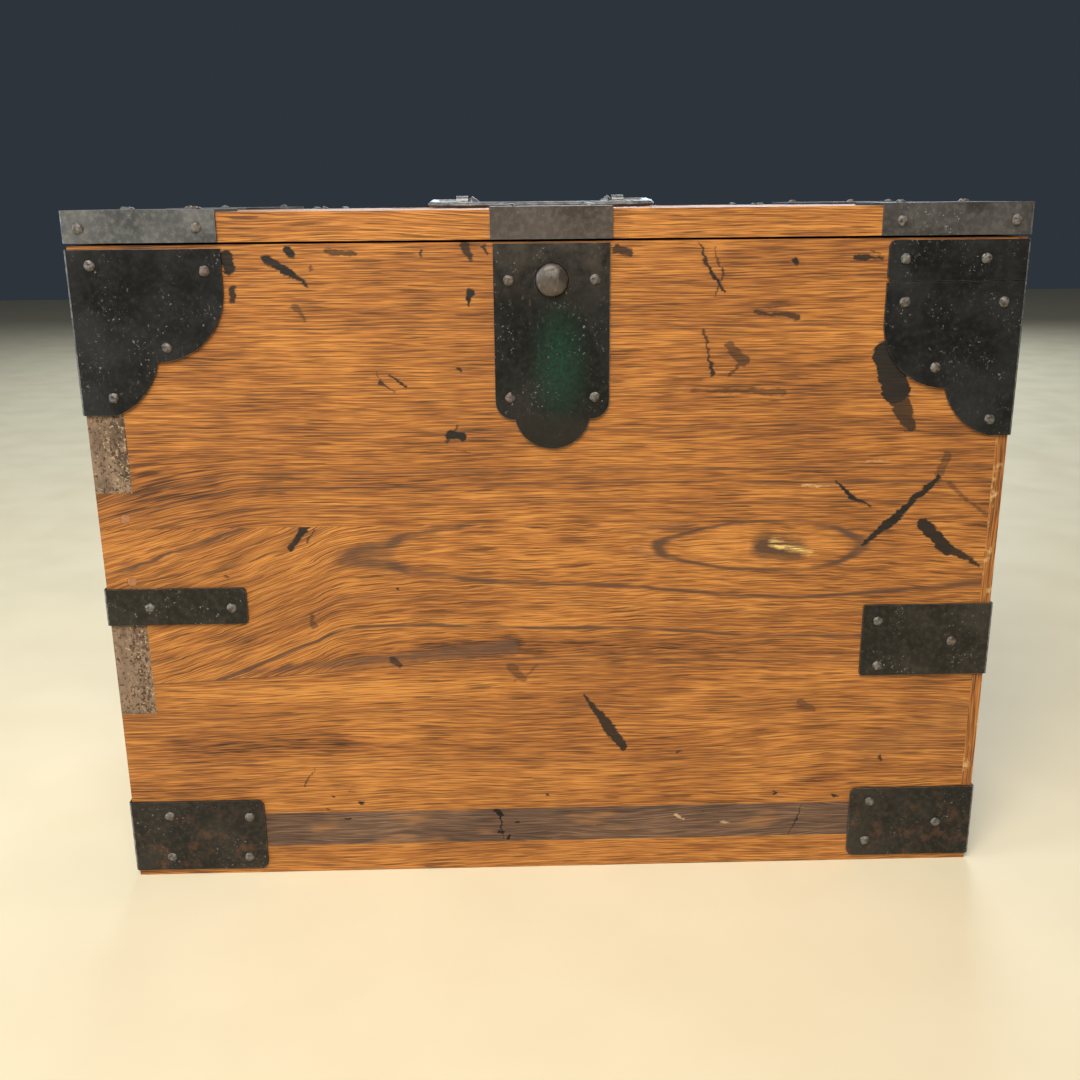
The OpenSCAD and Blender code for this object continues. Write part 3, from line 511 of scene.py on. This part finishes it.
oiled_lower = oil_wood(
    f, f.x, lower_ring, f.y, LOWER_MARKS, LOWER_PATCHES, fine=fibre_line,
    lines=((7.0, 1.15, 0.95), (19.3, 1.3, 0.88), (38.0, 1.2, 0.9), (27.0, 0.9, 0.35),
           (282.0, 0.7, 0.6), (258.0, 0.7, 0.5), (304.0, 0.9, 0.6)),
    warmth=0.06,
    tints=((((95, 160.0), (109, 159), 8.0, 7.0, 0.95), 5.0, (0.085, 0.044, 0.025)),
           (((99, 162.0), (115, 157.5), 3.2, 2.4, 0.60), 1.9, (0.80, 0.52, 0.16)),
           (((100, 160.6), (104, 159.4), 0.9, 0.8, 0.85), 0.5, (0.85, 0.58, 0.19)),
           (((107, 159.6), (112, 158.2), 0.9, 0.6, 0.85), 0.5, (0.85, 0.58, 0.19)),
           (((30, 168), (60, 171), 2.0, 3.0, 0.5), 3.5, (0.140, 0.072, 0.042)),
           (((36, 160), (52, 154), 3.0, 1.5, 0.55), 3.5, (0.140, 0.072, 0.042)),
           (((118, 170), (134, 166), 1.5, 2.0, 0.6), 2.0, (0.120, 0.064, 0.042)),
           (((-150, 103), (-20, 114), 1.2, 5.0, 0.62), 2.5, (0.150, 0.075, 0.040)),
           (((150, 60), (190, 75), 10.0, 12.0, 0.25), 9.0, (0.20, 0.095, 0.040))),
    seam=seam,
)

oiled_across = plain_oiled("oiled_back", "x", warmth=0.0)
oiled_side = plain_oiled("oiled_side", "y", warmth=-0.02)
worn_arris = plain_oiled("worn_arris", "x", warmth=0.05, wear=0.9)
# Front planks' arrises: dirt in the seams, and its near black is partly painted shade where the planks meet
# each other, the strip and the lid.
f = Finish("joint_dirt_and_shade")
dirt = f.cloud(f.moved(f.place, "MULTIPLY", (0.12, 1.0, 1.0)), 3.0, 3.0)
colour = f.shades(dirt, (0.42, (0.010, 0.006, 0.004)), (0.66, (0.30, 0.12, 0.03)))
joint_dirt_and_shade = f.coat(colour, 0.7, gloss=0.2)
end_grain = sawn_end("finger_ends", (0.30, 0.205, 0.135), (0.17, 0.112, 0.072))
lip_grain = plain_oiled("lip_grain", "z", warmth=0.0, wear=0.25)


def start_from(node):
    """A copy of a frame node's mesh, merged into a closed one, to be worked on."""
    piece = bpy.data.objects.new(node + "_piece", frame["nodes"][node].data.copy())
    bpy.context.scene.collection.objects.link(piece)
    piece.data.materials.clear()
    select_only(piece)
    if piece.data.has_custom_normals:
        bpy.ops.mesh.customdata_custom_splitnormals_clear()
    bpy.ops.object.mode_set(mode="EDIT")
    bpy.ops.mesh.select_all(action="SELECT")
    bpy.ops.mesh.remove_doubles(threshold=0.002 * MM)
    bpy.ops.mesh.dissolve_limited(angle_limit=math.radians(0.5))
    bpy.ops.object.mode_set(mode="OBJECT")
    return piece


def ease_edges(piece, width, finish=-1):
    """Takes off the arrises, whose strip may have a finish of its own."""
    select_only(piece)
    ease = piece.modifiers.new("eased", "BEVEL")
    ease.width = width * MM
    ease.segments = 2
    ease.limit_method = "ANGLE"
    ease.angle_limit = math.radians(35)
    ease.harden_normals = False
    ease.material = finish
    bpy.ops.object.modifier_apply(modifier="eased")
    bpy.ops.object.shade_smooth_by_angle(angle=math.radians(32))
    even = piece.modifiers.new("even", "WEIGHTED_NORMAL")
    even.keep_sharp = True
    bpy.ops.object.modifier_apply(modifier="even")


def give_faces(piece, slot, way):
    """Puts one of a piece's finishes on the faces that look a given way, or its opposite."""
    way = Vector(way)
    for face in piece.data.polygons:
        if abs(face.normal.dot(way)) > 0.9:
            face.material_index = slot


def fit_in(piece, node):
    """The piece stands for its frame node, which is hidden, and moves with its body."""
    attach(piece, frame["nodes"][node]["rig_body"])
    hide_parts(node)


def wall(node, face_finish, end_way, arris, end_finish=end_grain, arris_finish=worn_arris):
    plank = start_from(node)
    for finish in (face_finish, arris_finish, end_finish):
        plank.data.materials.append(finish)
    give_faces(plank, 2, end_way)
    ease_edges(plank, arris, finish=1)
    fit_in(plank, node)


wall("front_upper_board", oiled_upper, (1, 0, 0), arris=0.3, arris_finish=joint_dirt_and_shade)
wall("front_lower_board", oiled_lower, (1, 0, 0), arris=0.3, arris_finish=joint_dirt_and_shade)
wall("back_upper_board", oiled_across, (1, 0, 0), arris=0.25)
wall("back_lower_board", oiled_across, (1, 0, 0), arris=0.25)
wall("left_board", oiled_side, (0, 1, 0), arris=0.5)
wall("right_board", oiled_side, (0, 1, 0), arris=0.6, end_finish=lip_grain)


# ------------------------------------------------------------------ strip, bottom and pegs
# A darker strip of another wood closes the front above the bottom board, whose edge shows under it.
# The strip is dry, cracked and eaten by worms. Two pale pegs pin each left corner.

f = Finish("dry_dark_wood")
strip_sway = f.cloud(f.moved(f.place, "MULTIPLY", (0.18, 0.5, 1.0)), 16.0, 2.0)
strip_ring = f.plus(f.z, f.maths("MULTIPLY_ADD", strip_sway, 14.0, -7.0))
strip_tone, strip_pore, strip_streak = grain_colours(f, f.x, strip_ring, f.y, -0.05)
glow = f.fade(f.cloud(f.moved(f.place, "MULTIPLY", (0.3, 1, 1)), 12.0, 2.0), 0.55, 0.68)
colour = f.shades(strip_tone, (0.1, (0.07, 0.042, 0.028)), (0.55, (0.165, 0.092, 0.055)),
                  (0.95, (0.29, 0.17, 0.095)))
colour = f.blend(f.times(glow, 0.55), colour, (0.42, 0.19, 0.06))
colour = f.blend(f.fade(strip_pore, 0.56, 0.66, 0.0, 0.5), colour, OLD_OIL)
STRIP_MARKS = (
    ((-28, 30.5), (-26, 28.5), 1.3, 1.6, 1.0), ((-26, 28), (-25.5, 16), 0.7, 0.35, 1.0),
    ((-27, 19), (-25, 19), 1.2, 1.0, 1.0), ((-23, 16), (-22, 17), 1.0, 0.8, 1.0),
    ((-18, 24), (-17, 24), 0.9, 0.7, 1.0), ((119, 30), (117, 24), 0.35, 0.5, 0.95),
    ((117, 24), (113, 15), 0.5, 0.35, 0.95), ((-100, 28), (-97, 28), 0.9, 0.6, 0.9),
    ((20, 22), (26, 21), 0.4, 0.3, 0.6), ((70, 28), (80, 28), 0.5, 0.3, 0.6),
)
colour = f.blend(ink_strokes(f, STRIP_MARKS, 0.4), colour, (0.004, 0.003, 0.002))
flecks = ink_strokes(f, (((58, 26), (62, 24), 0.9, 0.7, 0.8), ((80, 22), (84, 22), 0.7, 0.5, 0.7)), 0.6)
colour = f.blend(flecks, colour, (0.62, 0.42, 0.22))
f.relief(f.maths("SUBTRACT", strip_streak, f.fade(strip_pore, 0.52, 0.66)), 0.45, 0.6)
dry_dark = f.coat(colour, 0.68, gloss=0.3)

strip = start_from("front_bottom_strip")
for finish in (dry_dark, worn_arris, end_grain):
    strip.data.materials.append(finish)
give_faces(strip, 2, (1, 0, 0))
ease_edges(strip, 0.3, finish=1)
fit_in(strip, "front_bottom_strip")

bottom = start_from("base_board")
for finish in (plain_oiled("oiled_bottom", "x", warmth=0.12), worn_arris, end_grain):
    bottom.data.materials.append(finish)
give_faces(bottom, 2, (1, 0, 0))
ease_edges(bottom, 0.6, finish=1)
fit_in(bottom, "base_board")

f = Finish("pale_peg")
peg_pits = f.cloud(f.place, 0.9, 2.0, 0.6)
f.relief(peg_pits, -0.3, 0.5)
peg_pale = f.coat(f.two_tone(peg_pits, (0.30, 0.125, 0.050), (0.42, 0.19, 0.085)), 0.6, gloss=0.3)
pegs = start_from("wooden_pegs")
pegs.data.materials.append(peg_pale)
ease_edges(pegs, 0.3)
fit_in(pegs, "wooden_pegs")


# ------------------------------------------------------------------ corner fittings
# Plates and straps are cut from thin sheet iron, folded round each corner, blackened and nailed on. The
# skin is mottled and specked with dust. The edges are rubbed, and their strip is painted a lighter bluish
# grey as a painted highlight where light catches it. The lowest have rusted, and the lower fittings are
# painted browner and lighter as a painted reflection of the pale table.

RUST_TOP = 60.0
IRON_GLOSS = 0.27


def blackened(name, dark, brown, rust=0.0, sheen=0.42, specks=0.5):
    """Blackened sheet iron, mottled from dark to brown, with dust, scuffs and maybe rust."""
    f = Finish(name)
    mottle = f.cloud(f.place, 26.0, 4.0, 0.5)
    fine = f.cloud(f.place, 2.4, 3.0, 0.6)
    colour = f.shades(mottle, (0.42, dark), (0.74, brown))
    colour = f.blend(f.fade(fine, 0.40, 0.72, 0.0, 0.26), colour, tuple(c * 2.2 for c in brown))
    dust = f.cloud(f.place, 1.3, 2.0, 0.75)
    dusty = f.times(f.fade(dust, 0.645, 0.71), f.fade(f.cloud(f.place, 18.0, 2.0), 0.43, 0.60))
    colour = f.blend(f.times(dusty, specks), colour, (0.34, 0.33, 0.30))
    scuff = f.cloud(f.moved(f.place, "MULTIPLY", (1.0, 1.0, 0.35)), 0.9, 2.0)
    scuffed = f.times(f.fade(scuff, 0.62, 0.74), f.fade(f.cloud(f.place, 30.0, 2.0), 0.48, 0.66, 0.0, 0.30))
    colour = f.blend(scuffed, colour, (0.16, 0.155, 0.145))
    if rust:
        blotch = f.cloud(f.moved(f.place, "ADD", (31.0, 0, 0)), 9.0, 5.0, 0.7)
        low = f.fade(f.z, RUST_TOP, 0.0)
        rusty = f.times(f.fade(blotch, 0.50, 0.66), f.times(low, rust))
        colour = f.blend(rusty, colour, (0.12, 0.052, 0.026))
    f.relief(f.plus(f.times(mottle, 0.6), f.times(fine, 0.2)), 0.25, 0.3)
    f.coat(colour, f.fade(mottle, 0.35, 0.65, sheen - 0.04, sheen + 0.10), gloss=IRON_GLOSS)
    return f


black_iron = blackened("black_iron", (0.0036, 0.0041, 0.0044), (0.0170, 0.0172, 0.0172)).material
# Middle and bottom fittings: a browner, lighter base painted as a painted reflection of the pale table,
# with real rust on the lowest.
lower_iron_reflection_and_rust = blackened("lower_fittings_painted_reflection_and_rust", (0.0085, 0.0075, 0.0060), (0.034, 0.029, 0.022),
                     rust=0.55, sheen=0.36).material
# Edge strip of the sheet iron: rubbed iron, and its lighter bluish grey is a painted highlight where light
# catches the bevels and folds.
f = Finish("edge_wear_and_painted_highlight")
edge_wear_and_highlight_cloud = f.cloud(f.place, 3.0, 3.0, 0.6)
edge_wear_and_painted_highlight = f.coat(f.two_tone(edge_wear_and_highlight_cloud, (0.09, 0.09, 0.092), (0.27, 0.28, 0.29)), 0.35, metallic=0.6)


FOLD_X, FOLD_Y = 200.6, 108.1  # a fold's outer corner lies past both of these
FOLD_RADIUS = 0.95


def round_folds(sheet):
    """Rounds the long outer corner of a sheet where it is folded round the box's own corner."""
    select_only(sheet)
    bpy.ops.object.mode_set(mode="EDIT")
    bpy.ops.mesh.select_mode(type="EDGE")
    bpy.ops.mesh.select_all(action="DESELECT")
    bpy.ops.object.mode_set(mode="OBJECT")
    for edge in sheet.data.edges:
        ends = [sheet.data.vertices[v].co for v in edge.vertices]
        upright = (ends[0] - ends[1]).normalized().z
        edge.select = abs(upright) > 0.99 and all(
            abs(end.x) > FOLD_X * MM and abs(end.y) > FOLD_Y * MM for end in ends)
    bpy.ops.object.mode_set(mode="EDIT")
    # The rounded fold takes the edge finish, with its painted highlight.
    bpy.ops.mesh.bevel(offset=FOLD_RADIUS * MM, segments=4, affect="EDGES", material=1)
    bpy.ops.mesh.select_mode(type="VERT")
    bpy.ops.object.mode_set(mode="OBJECT")


def plate(node, skin, edge=edge_wear_and_painted_highlight, arris=0.28):
    sheet = start_from(node)
    sheet.data.materials.append(skin)
    sheet.data.materials.append(edge)
    round_folds(sheet)
    ease_edges(sheet, arris, finish=1)
    fit_in(sheet, node)


for node in ("top_plate_front_left", "top_plate_front_right", "top_strap_front_right",
             "top_plate_back_left", "top_plate_back_right"):
    plate(node, black_iron)
for node in ("middle_strap_front_left", "middle_plate_front_right", "middle_strap_back_left",
             "middle_strap_back_right", "bottom_plate_front_left", "bottom_plate_front_right",
             "bottom_plate_back_left", "bottom_plate_back_right"):
    plate(node, lower_iron_reflection_and_rust)


# ------------------------------------------------------------------ nails
# Every fitting is held by hand-made nails with small lumpy heads, rubbed to grey brown on top and
# rusted round their rims.

f = Finish("nail_iron")
lump = f.cloud(f.place, 1.6, 3.0, 0.6)
patch = f.cloud(f.place, 24.0, 2.0, 0.6)
colour = f.shades(lump, (0.34, (0.045, 0.036, 0.030)), (0.66, (0.20, 0.185, 0.165)))
colour = f.blend(f.fade(patch, 0.5, 0.66, 0.0, 0.6), colour, (0.11, 0.05, 0.028))
f.relief(lump, 0.25, 0.6)
nail_iron = f.coat(colour, f.fade(lump, 0.35, 0.65, 0.40, 0.58), metallic=0.35)


def hammer(piece, depth, pitch):
    """Makes a turned shape look forged: its faces are divided and pushed about a little."""
    select_only(piece)
    bpy.ops.object.mode_set(mode="EDIT")
    bpy.ops.mesh.select_all(action="SELECT")
    bpy.ops.mesh.quads_convert_to_tris()
    bpy.ops.mesh.subdivide(number_cuts=1)
    bpy.ops.object.mode_set(mode="OBJECT")
    dents = bpy.data.textures.new("dents", "CLOUDS")
    dents.noise_scale = pitch * MM
    dents.noise_depth = 1
    push = piece.modifiers.new("dents", "DISPLACE")
    push.texture = dents
    push.texture_coords = "LOCAL"
    push.strength = depth * MM
    push.mid_level = 0.5
    bpy.ops.object.modifier_apply(modifier="dents")
    bpy.data.textures.remove(dents)
    bpy.ops.object.shade_smooth_by_angle(angle=math.radians(50))


for node in ("front_nails", "back_nails", "left_nails", "right_nails", "catch_nails",
             "slot_plate_nails", "lid_nails", "hinge_nails"):
    nails = start_from(node)
    nails.data.materials.append(nail_iron)
    hammer(nails, 0.9, 2.2)
    fit_in(nails, node)


# ------------------------------------------------------------------ lock plate, stud and catch
# A long black plate with a round lobe at its foot covers the lock. Its middle has a green cast, and its rim
# is bevelled and painted a lighter bluish grey as a painted highlight. A domed stud is pushed in to bend
# the catch spring off the lid's barbs.

f = blackened("lock_iron", (0.0042, 0.0048, 0.0044), (0.019, 0.0185, 0.016), specks=0.6, sheen=0.36)
middle = f.moved(f.moved(f.moved(f.place, "SUBTRACT", (3.0, 0, 243.0)), "MULTIPLY", (0.09, 0, 0.042)),
                 "LENGTH")
verdure = f.times(f.fade(middle, 1.45, 0.15),
                  f.fade(f.cloud(f.place, 1.6, 3.0, 0.7), 0.35, 0.65, 0.35, 1.0))
colour = f.blend(f.times(verdure, 0.95), f.colour, (0.008, 0.042, 0.025))
lobe = f.fade(f.z, 226, 216)
colour = f.blend(f.times(lobe, 0.55), colour, (0.022, 0.017, 0.012))
brow = f.times(f.fade(f.z, 262, 290), f.fade(f.cloud(f.place, 7.0, 4.0, 0.65), 0.30, 0.75))
colour = f.blend(f.times(brow, 0.65), colour, (0.075, 0.060, 0.048))
lock_iron = f.coat(colour, 0.36, gloss=IRON_GLOSS)
# Lock plate rim: a lighter bluish grey painted on the bevel as a painted highlight.
f = Finish("lock_bevel_painted_highlight")
lock_bevel_highlight_cloud = f.cloud(f.place, 2.0, 3.0, 0.6)
lock_bevel_painted_highlight = f.coat(f.two_tone(lock_bevel_highlight_cloud, (0.045, 0.054, 0.056), (0.135, 0.155, 0.165)), 0.36, metallic=0.2)
plate("lock_plate", lock_iron, lock_bevel_painted_highlight, arris=0.75)

f = Finish("stud_iron")
scratch = f.cloud(f.moved(f.place, "MULTIPLY", (1.0, 1.0, 0.22)), 0.9, 2.0, 0.6)
stud_mottle = f.cloud(f.place, 5.0, 4.0, 0.6)
colour = f.two_tone(stud_mottle, (0.055, 0.043, 0.035), (0.115, 0.094, 0.078))
colour = f.blend(f.fade(scratch, 0.6, 0.7, 0.0, 0.5), colour, (0.24, 0.21, 0.185))
f.relief(f.plus(stud_mottle, f.times(scratch, 0.3)), 0.4, 0.5)
stud_iron = f.coat(colour, 0.46, metallic=0.4)
stud = start_from("push_stud")
stud.data.materials.append(stud_iron)
hammer(stud, 0.45, 4.0)
fit_in(stud, "push_stud")

f = Finish("worked_iron")
bright = f.cloud(f.place, 7.0, 3.0, 0.55)
f.relief(bright, 0.2, 0.4)
colour = f.shades(bright, (0.30, (0.085, 0.080, 0.075)), (0.70, (0.150, 0.145, 0.138)))
worked_iron = f.coat(colour, 0.4, metallic=0.6)
for node in ("stud_collar", "catch_spring"):
    inner = start_from(node)
    inner.data.materials.append(worked_iron)
    ease_edges(inner, 0.12)
    fit_in(inner, node)

f = Finish("raw_wood")
raw_sway = f.cloud(f.moved(f.place, "MULTIPLY", (0.3, 0.5, 1.0)), 24.0, 2.0)
raw_ring = f.plus(f.z, f.maths("MULTIPLY_ADD", raw_sway, 20.0, -10.0))
raw_broad = f.cloud(f.point(f.times(f.x, 0.05), raw_ring, f.y), 3.5, 3.0, 0.6)
raw_pore = f.cloud(f.point(f.times(f.x, 0.1), raw_ring, f.y), 0.8, 1.0)
colour = f.shades(raw_broad, (0.36, (0.34, 0.20, 0.095)), (0.64, (0.52, 0.34, 0.17)))
colour = f.blend(f.fade(raw_pore, 0.58, 0.68, 0.0, 0.5), colour, (0.15, 0.08, 0.04))
f.relief(raw_broad, 0.25, 0.5)
raw_wood = f.coat(colour, 0.72, gloss=0.25)
block = start_from("catch_block")
block.data.materials.append(raw_wood)
ease_edges(block, 0.4)
fit_in(block, "catch_block")


# ------------------------------------------------------------------ lid
# One board of the same oiled wood, with a mouth cut through it behind the handle. Its front edge is
# the brightest wood on the box.

lid = start_from("lid_board")
for finish in (plain_oiled("oiled_lid", "x", warmth=0.10), worn_arris, end_grain):
    lid.data.materials.append(finish)
give_faces(lid, 2, (1, 0, 0))
ease_edges(lid, 0.7, finish=1)
fit_in(lid, "lid_board")


# ------------------------------------------------------------------ hopper and coin slot
# Four thin boards under the mouth make a trough that narrows to an iron plate with one slot, so a
# coin drops in and can't be shaken out.

for node in ("hopper_front_board", "hopper_back_board", "hopper_left_end", "hopper_right_end"):
    chute = start_from(node)
    chute.data.materials.append(raw_wood)
    ease_edges(chute, 0.4)
    fit_in(chute, node)
plate("coin_slot_plate", black_iron)


# ------------------------------------------------------------------ lid fittings
# The lid has folded plates on its corners and a strap over the middle of its front edge. The corner plates
# are painted greyer than the fittings below as a painted reflection of the light they catch, and the left
# ones are lightest. The barbed keeper hangs under the strap.

# The lid's left corner plates: grey painted on as a painted reflection, lighter than the right ones.
left_lid_iron_painted_reflection = blackened("left_lid_iron_reflection", (0.052, 0.053, 0.053), (0.125, 0.124, 0.120),
                      sheen=0.5, specks=0.3).material
# Right corner plates and hinge leaves: a duller grey, which on the lid plates is also a painted reflection.
dull_iron = blackened("dull_iron", (0.026, 0.024, 0.022), (0.076, 0.072, 0.067), sheen=0.5).material
strap_iron = blackened("strap_iron", (0.046, 0.037, 0.031), (0.088, 0.072, 0.060),
                       sheen=0.48, specks=0.2).material
for node in ("lid_plate_front_left", "lid_plate_back_left"):
    plate(node, left_lid_iron_painted_reflection)
for node in ("lid_plate_front_right", "lid_plate_back_right"):
    plate(node, dull_iron)
plate("lid_strap", strap_iron)
keeper = start_from("lid_keeper")
keeper.data.materials.append(worked_iron)
ease_edges(keeper, 0.15)
fit_in(keeper, "lid_keeper")


# ------------------------------------------------------------------ handle
# A forged bail turns in the eyes of two posts that are driven through the lid and clenched. It lies forward
# on the lid when at rest. All of it is rough from the hammer. Its mottled scale is painted a light bluish
# grey as a painted highlight of the light from above and behind.

# Bail and posts: mottled scale, and its light bluish grey is a painted highlight.
f = Finish("forged_iron")
scale_and_highlight_cloud = f.cloud(f.place, 3.2, 4.0, 0.65)
colour = f.shades(scale_and_highlight_cloud, (0.30, (0.085, 0.083, 0.081)), (0.70, (0.260, 0.262, 0.262)))
f.relief(scale_and_highlight_cloud, 0.3, 0.5)
forged_iron = f.coat(colour, f.fade(scale_and_highlight_cloud, 0.35, 0.65, 0.34, 0.50), metallic=0.45)
for node in ("handle_bail", "handle_post_left", "handle_post_right"):
    forging = start_from(node)
    forging.data.materials.append(forged_iron)
    hammer(forging, 0.35, 2.5)
    fit_in(forging, node)


# ------------------------------------------------------------------ hinges
# Two strap hinges join the lid to the back. Their leaves are nailed on, and each turns on a pin
# whose ends are riveted over.

for node in ("hinge_body_leaf_left", "hinge_body_leaf_right",
             "hinge_lid_leaf_left", "hinge_lid_leaf_right"):
    leaf = start_from(node)
    leaf.data.materials.append(dull_iron)
    leaf.data.materials.append(edge_wear_and_painted_highlight)
    ease_edges(leaf, 0.2, finish=1)
    fit_in(leaf, node)
for node in ("hinge_pin_left", "hinge_pin_right"):
    pin = start_from(node)
    pin.data.materials.append(worked_iron)
    ease_edges(pin, 0.2)
    fit_in(pin, node)
